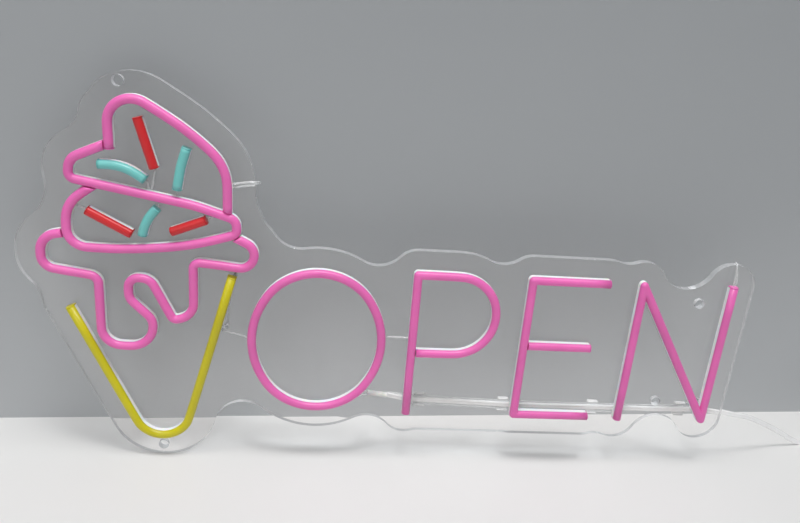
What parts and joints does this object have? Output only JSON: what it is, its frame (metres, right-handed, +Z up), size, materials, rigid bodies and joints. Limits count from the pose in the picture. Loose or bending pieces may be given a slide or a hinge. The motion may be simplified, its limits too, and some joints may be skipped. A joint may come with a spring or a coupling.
{
  "type": "neon flex shop sign",
  "caption": "LED neon flex sign on a clear contour-cut acrylic board: an ice-cream cone and a shop-status word, with a low-voltage lead.",
  "frame": {"origin": "centre of the top left hang hole, on the backboard's back face", "axes": "+X to the right as the sign is read, +Y into the wall, +Z up"},
  "size_m": [0.6624, 0.0585, 0.2665],
  "materials": {
    "clear_acrylic": "clear cast acrylic, polished faces, laser-cut edge",
    "white_silicone": "white silicone, satin",
    "led_strip": "white flexible circuit with LED chips",
    "pink_silicone": "dyed silicone, satin",
    "yellow_silicone": "dyed silicone, satin",
    "red_silicone": "dyed silicone, satin",
    "teal_silicone": "dyed silicone, satin",
    "clear_lead": "clear PVC over fine tinned strands",
    "heat_shrink": "translucent heat-shrink tube",
    "black_plastic": "moulded black plastic",
    "plated_metal": "nickel-plated brass"
  },
  "bodies": {
    "root": {"backboard": "clear_acrylic", "scoop_top_channel": "white_silicone", "scoop_top_led_strip": "led_strip", "scoop_top_jacket": "pink_silicone", "scoop_swirl_channel": "white_silicone", "scoop_swirl_led_strip": "led_strip", "scoop_swirl_jacket": "pink_silicone", "drip_channel": "white_silicone", "drip_led_strip": "led_strip", "drip_jacket": "pink_silicone", "cone_channel": "white_silicone", "cone_led_strip": "led_strip", "cone_jacket": "yellow_silicone", "letter_o_channel": "white_silicone", "letter_o_led_strip": "led_strip", "letter_o_jacket": "pink_silicone", "letter_p_channel": "white_silicone", "letter_p_led_strip": "led_strip", "letter_p_jacket": "pink_silicone", "letter_e_channel": "white_silicone", "letter_e_led_strip": "led_strip", "letter_e_jacket": "pink_silicone", "letter_e_bar_channel": "white_silicone", "letter_e_bar_led_strip": "led_strip", "letter_e_bar_jacket": "pink_silicone", "letter_n_channel": "white_silicone", "letter_n_led_strip": "led_strip", "letter_n_jacket": "pink_silicone", "sprinkle_red_top_channel": "white_silicone", "sprinkle_red_top_jacket": "red_silicone", "sprinkle_red_left_channel": "white_silicone", "sprinkle_red_left_jacket": "red_silicone", "sprinkle_red_right_channel": "white_silicone", "sprinkle_red_right_jacket": "red_silicone", "sprinkle_teal_left_channel": "white_silicone", "sprinkle_teal_left_jacket": "teal_silicone", "sprinkle_teal_right_channel": "white_silicone", "sprinkle_teal_right_jacket": "teal_silicone", "sprinkle_teal_mid_channel": "white_silicone", "sprinkle_teal_mid_jacket": "teal_silicone", "sprinkle_led_strips": "led_strip", "end_seals_pink": "pink_silicone", "end_seals_yellow": "yellow_silicone", "end_seals_red": "red_silicone", "end_seals_teal": "teal_silicone", "wire_scoop": "clear_lead", "wire_letter_n": "clear_lead", "wire_letter_o": "clear_lead", "wire_o_to_p": "clear_lead", "wire_p_to_e": "clear_lead", "wire_e_to_n": "clear_lead", "wire_cone": "clear_lead", "wires_sprinkles": "clear_lead", "splice_sleeve": "heat_shrink", "lead_clips": "clear_acrylic", "power_lead": "clear_lead", "lead_coil": "clear_lead", "coil_tie": "black_plastic", "plug_body": "black_plastic", "plug_barrel": "plated_metal"}
  },
  "joints": []
}
